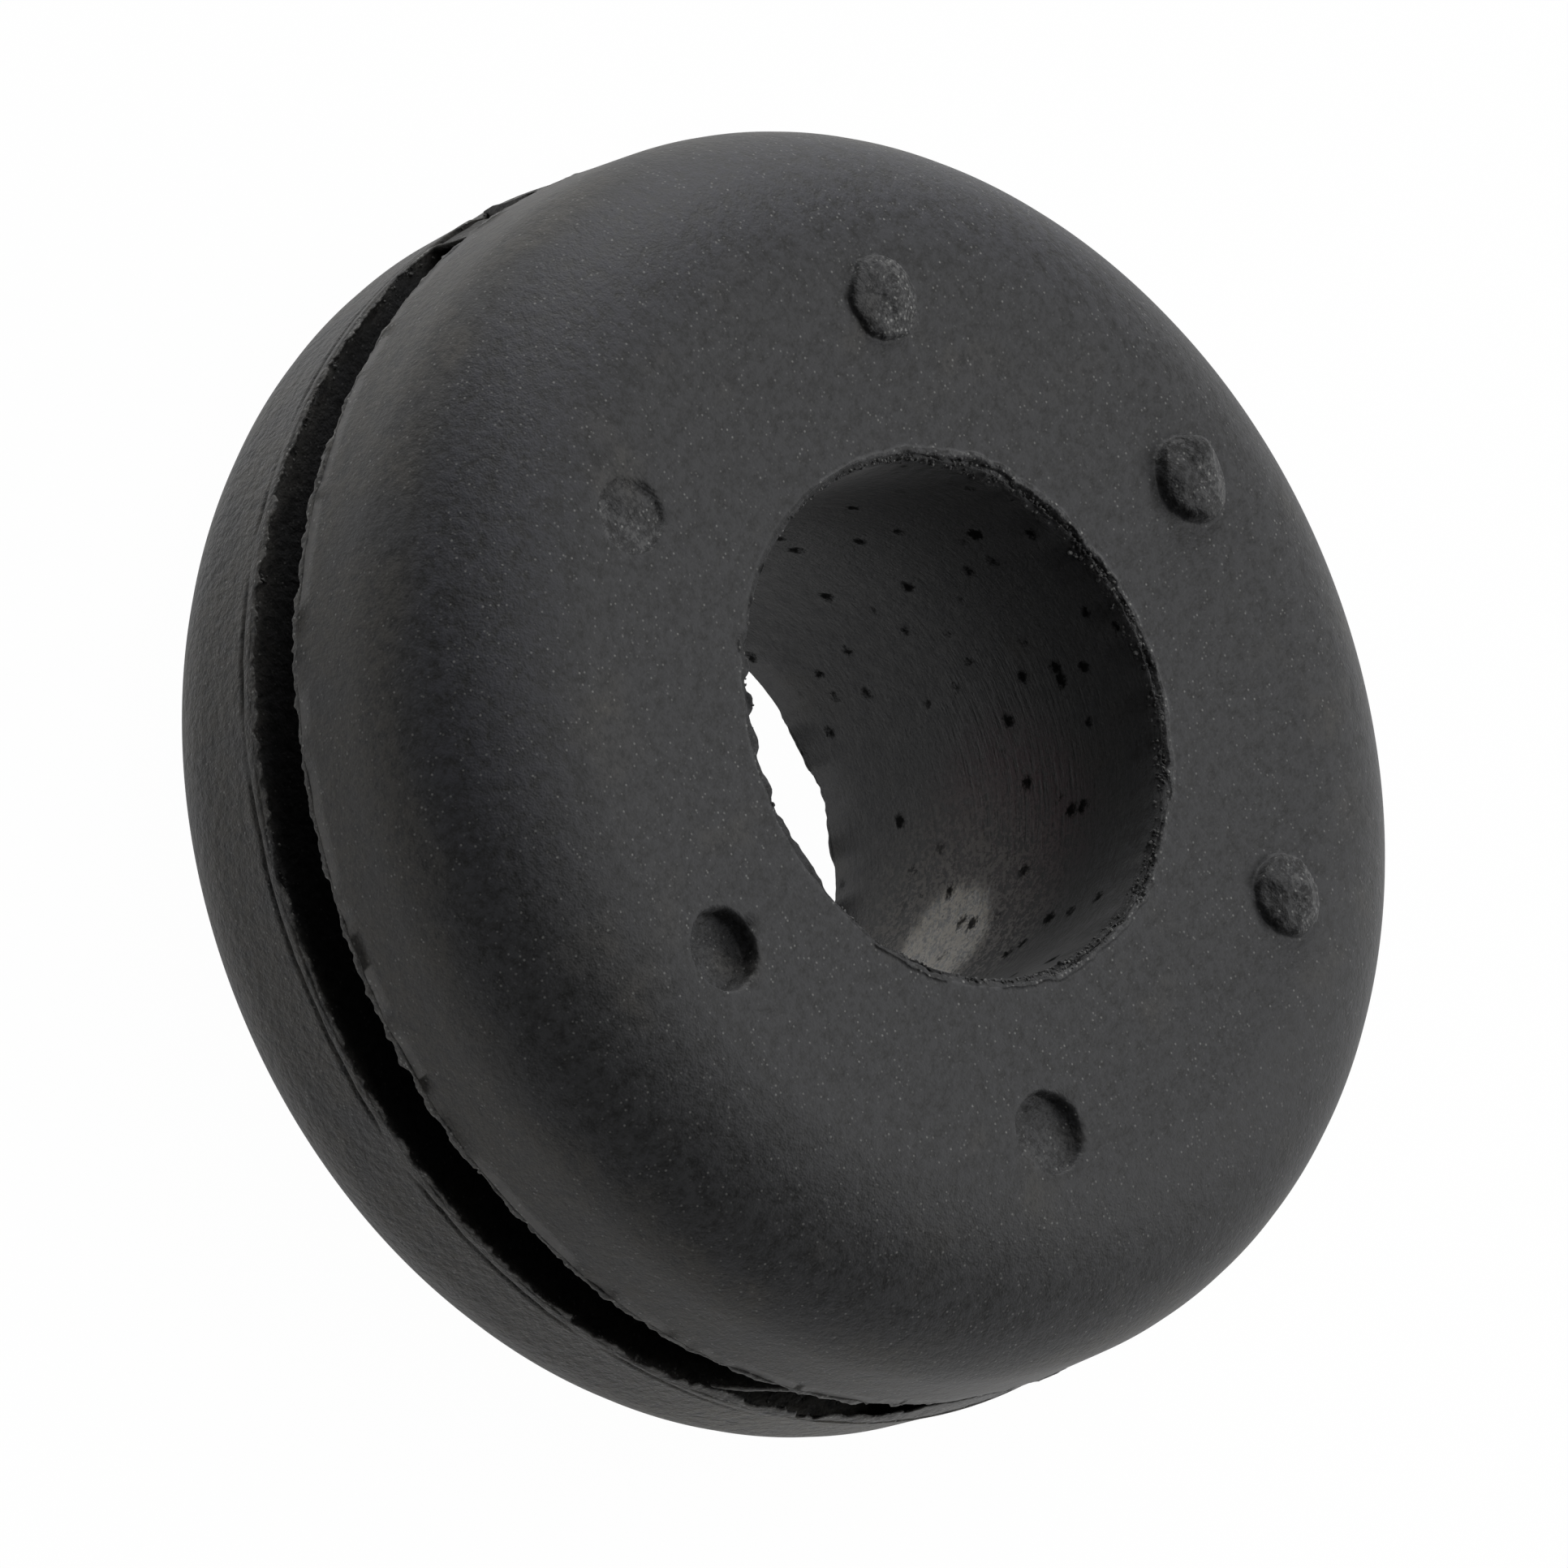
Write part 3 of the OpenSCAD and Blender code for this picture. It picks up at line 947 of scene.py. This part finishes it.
def rubber_parts(paint):
    """The noises and masks, from 0 to 1, that the rubber's colour, pits and relief are mixed from.

    The mesh stores how torn, how dusty and how deep in painted shade each point is. The bore's wall,
    the back flange and the wall's own spots are told by place. One noise serves as the lumps of the
    skin and, drawn out round the axis, as the scratches on the wall. Noise frays the outline of the
    painted pool of light on the wall, round which the grains are painted lit.
    """
    where, x, y, z = paint.place()
    parts = SimpleNamespace(where=where, y=y, z=z, from_axis=(x * x + y * y) ** 0.5)
    parts.torn, parts.dust, parts.deep = (paint.stored(name) for name in ("torn", "dust", "deep"))
    parts.bore = parts.from_axis.step(BORE_R / MM + 0.12, BORE_R / MM + 0.02) * (1 - parts.torn)
    parts.back = z.step(3.7, 3.5) * (1 - parts.bore)
    parts.worn = paint.near(where, WORN) * parts.bore
    even, turned = paint.stretch(where, (5.0, 5.0, 5.0)), paint.stretch(where, (1.1, 1.1, 15.0))
    parts.lumps = paint.noise(paint.blend(parts.bore, even, turned), 1.0, 3.0, 0.65)
    parts.mottle = paint.noise(where, 0.26, 3.0, 0.9)
    parts.fine = paint.noise(where, 0.09, 2.0, 0.8)
    parts.grains = parts.fine + parts.mottle - 0.5
    # Painted light: a pool of light on the bore's wall, its outline frayed by noise, and round it a wider
    # zone where the grains are painted lit
    from_patch = paint.distance(where, LIGHT_POOL_MIDDLE) + (parts.lumps - 0.5) * 0.5 + (parts.mottle - 0.5) * 0.7
    parts.patch = from_patch.step(1.35, 0.95) * parts.bore
    parts.grainy = from_patch.step(3.4, 1.4) * parts.bore
    return parts


def rubber_tone(paint, parts):
    """How light the rubber is against its dark mottling: three noises, the fine one stronger round the
    painted pool of light, and less on two stretches of the wall painted with shade.
    """
    tone = (parts.mottle - 0.5) * 4.0
    tone = tone + (parts.lumps - 0.5) * (parts.back * 1.2 + parts.worn * 3.4 + parts.torn * 1.6)
    tone = tone + (parts.fine - 0.5) * (parts.bore * 1.2 + parts.grainy * 3.0 + parts.torn * 3.6 + 0.6)
    # Painted shade on two stretches of the bore's wall
    painted_bore_shade = paint.near(parts.where, PAINTED_SHADE_WALL) * 0.25 + paint.near(parts.where, PAINTED_SHADE_BELOW_RIM) * 0.4
    return tone - painted_bore_shade * parts.bore


def powder(paint, parts):
    """How much powder lies: round specks at some strewn points, denser where it is dusty, and crumbs. On the
    marks' lit sides the extra powder is a painted highlight.
    """
    far, pick = paint.cells(parts.where, 0.085)
    speck = (far - parts.dust * 0.06).step(0.32, 0.10) * (pick + parts.dust * 0.3).step(0.2, 1.25) ** 2
    crumb = parts.dust.step(1.0, 2.0) * 0.5 + parts.dust * parts.torn * parts.grains.step(0.5, 0.66) * 0.3
    return speck * (0.75 - parts.bore * 0.6) + crumb


def rubber_colour(paint, look, parts):
    """The clean rubber's colour with its films laid over it in turn, each by its own share; some of the films
    are painted light and shade.
    """
    # Painted rim light: the brownish film lies thicker on the outer flank, and near the spot of bloom at its
    # bottom
    rim_light_and_low_bloom = parts.from_axis.step(9.4, 10.0) + paint.near(parts.where, BLOOMED) * 0.6
    warm_bloom_and_rim_light = (paint.noise(parts.where, 1.5, 2.0) + rim_light_and_low_bloom * 0.3).step(0.56, 0.82)
    # Painted shade: the bluish tint on the left shoulder
    painted_cool_shade = parts.from_axis.step(7.0, 8.6) * parts.y.step(-1.0, -5.0) * parts.z.step(6.8, 7.4)
    # Painted light and shade among the films: the brownish film is also a painted rim light on the outer
    # flank, the bluish tint is painted shade, the pale grains and the bore's pale bloom are a painted pool of
    # light, the pale film low on the back flange is painted bounce light from the floor, the mottle's dark
    # colour also lays painted shade on the bore's wall, and powder lies thicker on the marks' lit sides as a
    # painted highlight
    films = (
        (warm_bloom_and_rim_light, look.warm_bloom_and_rim_light),
        (painted_cool_shade * 0.8, look.painted_cool_shade),
        (paint.near(parts.where, BROWNED) * parts.bore, look.brown),
        (parts.grainy * parts.grains.step(0.44, 0.58), look.scale),
        (paint.near(parts.where, FLOOR_BOUNCE_SPOT) * parts.back * 0.9, look.painted_floor_bounce),
        (parts.patch * parts.grains.step(0.05, 0.45), look.bloom),
        (0.35 - rubber_tone(paint, parts), look.shade),
        (powder(paint, parts), look.dust),
    )
    mixed = rgba(look.rubber)
    for amount, film in films:
        mixed = paint.mix(amount, mixed, rgba(film))
    return mixed


def bore_pits(paint, parts):
    """Pits in the bore's wall, painted as dark spots of shade without relief: ragged spots at some strewn
    points, more of them where the wall is worn.
    """
    far, pick = paint.cells(parts.where, 0.55)
    ragged = far + (parts.fine - 0.5) * 0.42 + (parts.mottle - 0.5) * 0.2
    round_pits = (ragged - pick * 0.22).step(0.11, -0.06) * (pick + parts.worn * 0.45).step(0.55, 0.62)
    return round_pits * parts.bore + parts.worn * parts.lumps.step(0.34, 0.26) * 0.5


def rubber_material(look):
    """Matt moulded rubber with films, powder, pits and turned scratches; its hollows and pits get painted
    shade as a dark matt colour, and some films are painted light and shade.
    """
    paint = Paint(RUBBER)
    parts = rubber_parts(paint)
    lumpy = parts.back * 4.0 + parts.worn * 1.2 + parts.torn * 2.0 + 0.5
    lift = parts.mottle * (parts.torn + 1.6) + parts.lumps * lumpy
    roughness = (parts.mottle - 0.5) * 0.25 + look.roughness - parts.patch * 0.3
    skin_shader = paint.node("ShaderNodeBsdfPrincipled", {}, {
        "Base Color": rubber_colour(paint, look, parts),
        "Roughness": roughness + parts.bore * parts.z.step(3.5, 7.5) * 0.14,
        "Normal": paint.bump(lift, 0.02 * MM, 0.8),
        "Specular IOR Level": look.gloss, "Sheen Weight": look.sheen, "Sheen Roughness": 0.5})
    # Painted shade: a dark matt colour mixed in by the deep value and by the pits
    painted_shade_shader = paint.node("ShaderNodeBsdfDiffuse", {}, {"Color": rgba(look.painted_hollow_shade)})
    painted_shade_amount = parts.deep * 0.5 + bore_pits(paint, parts) * 0.9
    return paint.output(paint.merge(painted_shade_amount, skin_shader, painted_shade_shader))


# ---------------------------------------------------------------- studio

class BufferStage(bpy.types.PropertyGroup):
    """The studio: camera, lamps and floor."""

    azimuth: angle("Camera azimuth", "Direction of the camera round the bore's axis, from +X", -17.3)
    elevation: angle("Camera elevation", "Height of the camera above the horizon", 48.4)
    roll: angle("Camera roll", "How far the camera is rolled about its own axis", 68.5)
    distance: length("Camera distance", "Distance from the camera to the buffer", 337.8, 10.0, 2000.0)
    lens: share("Lens", "Focal length in millimetres on a 36 mm sensor", 500.0, 2000.0)
    floor: colour("Floor", "Colour of the floor", (0.85, 0.85, 0.85))
    floor_glow: share("Floor glow", "Share of the floor that is white to camera and reflections", 0.985)


# Name, azimuth and elevation in degrees, strength as the light it gives a surface that faces it
LAMPS = (
    ("left_softbox", 225.0, 19.0, 2.1),
    ("right_softbox", 135.0, 40.0, 1.5),
    ("top_softbox", 235.0, 78.0, 0.95),
)
LAMP_DISTANCE = 300 * MM
LAMP_SIDE = 180 * MM
SENSOR = 36.0                              # width of the camera's sensor in millimetres
NEAREST, FARTHEST = 0.01, 10.0             # distances between which the camera sees, in metres
AIM = Vector((0.09 * MM, -0.06 * MM, HEIGHT / 2))
FLOOR_HALF = 3.0                           # half the side of the floor, in metres
FLOOR_GAP = 0.02 * MM                      # so that the floor and the back face don't share one plane
SKY_LIGHT = 0.06                           # strength of the sky as a light


def direction(azimuth, elevation):
    """Unit vector from an azimuth about +Z, from +X, and an elevation, in radians."""
    flat = math.cos(elevation)
    return Vector((math.cos(azimuth) * flat, math.sin(azimuth) * flat, math.sin(elevation)))


def place_camera(stage):
    """Puts the camera at its direction and distance from the aim, and rolls it about its own axis."""
    back = direction(stage.azimuth, stage.elevation)
    level = Vector((0, 0, 1)).cross(back).normalized()
    upright = back.cross(level)
    c, s = math.cos(stage.roll), math.sin(stage.roll)
    right, up = level * c + upright * s, upright * c - level * s
    data = bpy.data.cameras.new("camera")
    data.lens = stage.lens
    data.sensor_width = SENSOR
    camera = bpy.data.objects.new("camera", data)
    bpy.context.scene.collection.objects.link(camera)
    turned = Matrix((right, up, back)).transposed().to_4x4()
    camera.matrix_world = Matrix.Translation(AIM + back * stage.distance) @ turned
    data.clip_start, data.clip_end = NEAREST, FARTHEST
    bpy.context.scene.camera = camera


def place_lamp(name, azimuth, elevation, strength):
    """A square softbox that faces the buffer from a direction in degrees."""
    toward = direction(math.radians(azimuth), math.radians(elevation))
    data = bpy.data.lights.new(name, "AREA")
    data.size = LAMP_SIDE
    data.energy = strength * math.pi * LAMP_DISTANCE ** 2
    lamp = bpy.data.objects.new(name, data)
    bpy.context.scene.collection.objects.link(lamp)
    lamp.location = Vector((0, 0, HEIGHT / 2)) + toward * LAMP_DISTANCE
    lamp.rotation_euler = toward.to_track_quat("Z", "Y").to_euler()


def floor_material(stage):
    """A pale floor: a share of plain white to the camera and to reflections, and matt paint for the rest."""
    paint = Paint("studio_floor")
    matt = paint.node("ShaderNodeBsdfDiffuse", {}, {"Color": rgba(stage.floor)})
    white = paint.node("ShaderNodeEmission", {}, {"Color": rgba((1, 1, 1)), "Strength": 1.0})
    rays = paint.node("ShaderNodeLightPath", {}, {})
    seen = Sock(paint, rays.outputs["Is Camera Ray"]) + Sock(paint, rays.outputs["Is Glossy Ray"])
    return paint.output(paint.merge(seen * stage.floor_glow, matt, white))


def lay_floor(stage):
    """A square floor just below the buffer."""
    mesh = bpy.data.meshes.new("floor")
    corners = [(x * FLOOR_HALF, y * FLOOR_HALF, 0) for x, y in ((-1, -1), (1, -1), (1, 1), (-1, 1))]
    mesh.from_pydata(corners, [], [(0, 1, 2, 3)])
    mesh.materials.append(floor_material(stage))
    floor = bpy.data.objects.new("floor", mesh)
    bpy.context.scene.collection.objects.link(floor)
    floor.location.z = LOW.z - FLOOR_GAP


def hang_sky():
    """A world that is plain white to the camera, and gives the buffer only its own weak light."""
    world = bpy.data.worlds.new("studio")
    bpy.context.scene.world = world
    world.use_nodes = True
    nodes, links = world.node_tree.nodes, world.node_tree.links
    sky, rays, brighter = nodes["Background"], nodes.new("ShaderNodeLightPath"), nodes.new("ShaderNodeMath")
    sky.inputs["Color"].default_value = (1, 1, 1, 1)
    brighter.operation = "MAXIMUM"
    brighter.inputs[1].default_value = SKY_LIGHT
    links.new(rays.outputs["Is Camera Ray"], brighter.inputs[0])
    links.new(brighter.outputs[0], sky.inputs["Strength"])


class BUFFER_OT_stage(bpy.types.Operator):
    """Sets up the camera, lamps, sky and pale floor round the buffer."""

    bl_idname = "buffer.stage"
    bl_label = "Studio"

    def execute(self, context):
        stage = context.scene.buffer_stage
        place_camera(stage)
        for lamp in LAMPS:
            place_lamp(*lamp)
        lay_floor(stage)
        hang_sky()
        context.scene.view_settings.view_transform = "Standard"
        return {"FINISHED"}


# ---------------------------------------------------------------- add-on

class BUFFER_PT_panel(bpy.types.Panel):
    """Lists the buffer's pieces in the sidebar."""

    bl_label = "Rubber Buffer"
    bl_idname = "BUFFER_PT_panel"
    bl_space_type = "VIEW_3D"
    bl_region_type = "UI"
    bl_category = "Buffer"

    def draw(self, context):
        for step in STEPS:
            self.layout.operator(step.bl_idname)


STEPS = (BUFFER_OT_body, BUFFER_OT_flash, BUFFER_OT_crumbs, BUFFER_OT_stage)
GROUPS = {"buffer_sizes": BufferSizes, "buffer_look": BufferLook, "buffer_stage": BufferStage}
CLASSES = (*GROUPS.values(), *STEPS, BUFFER_PT_panel)


def register():
    """Registers the classes and hangs the groups of properties on the scene."""
    for cls in CLASSES:
        bpy.utils.register_class(cls)
    for name, group in GROUPS.items():
        setattr(bpy.types.Scene, name, bpy.props.PointerProperty(type=group))


def unregister():
    """Takes the groups of properties off the scene and unregisters the classes."""
    for name in GROUPS:
        delattr(bpy.types.Scene, name)
    for cls in reversed(CLASSES):
        bpy.utils.unregister_class(cls)


def main():
    """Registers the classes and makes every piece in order."""
    register()
    for step in STEPS:
        group, name = step.bl_idname.split(".")
        getattr(getattr(bpy.ops, group), name)()


if __name__ == "__main__":
    main()
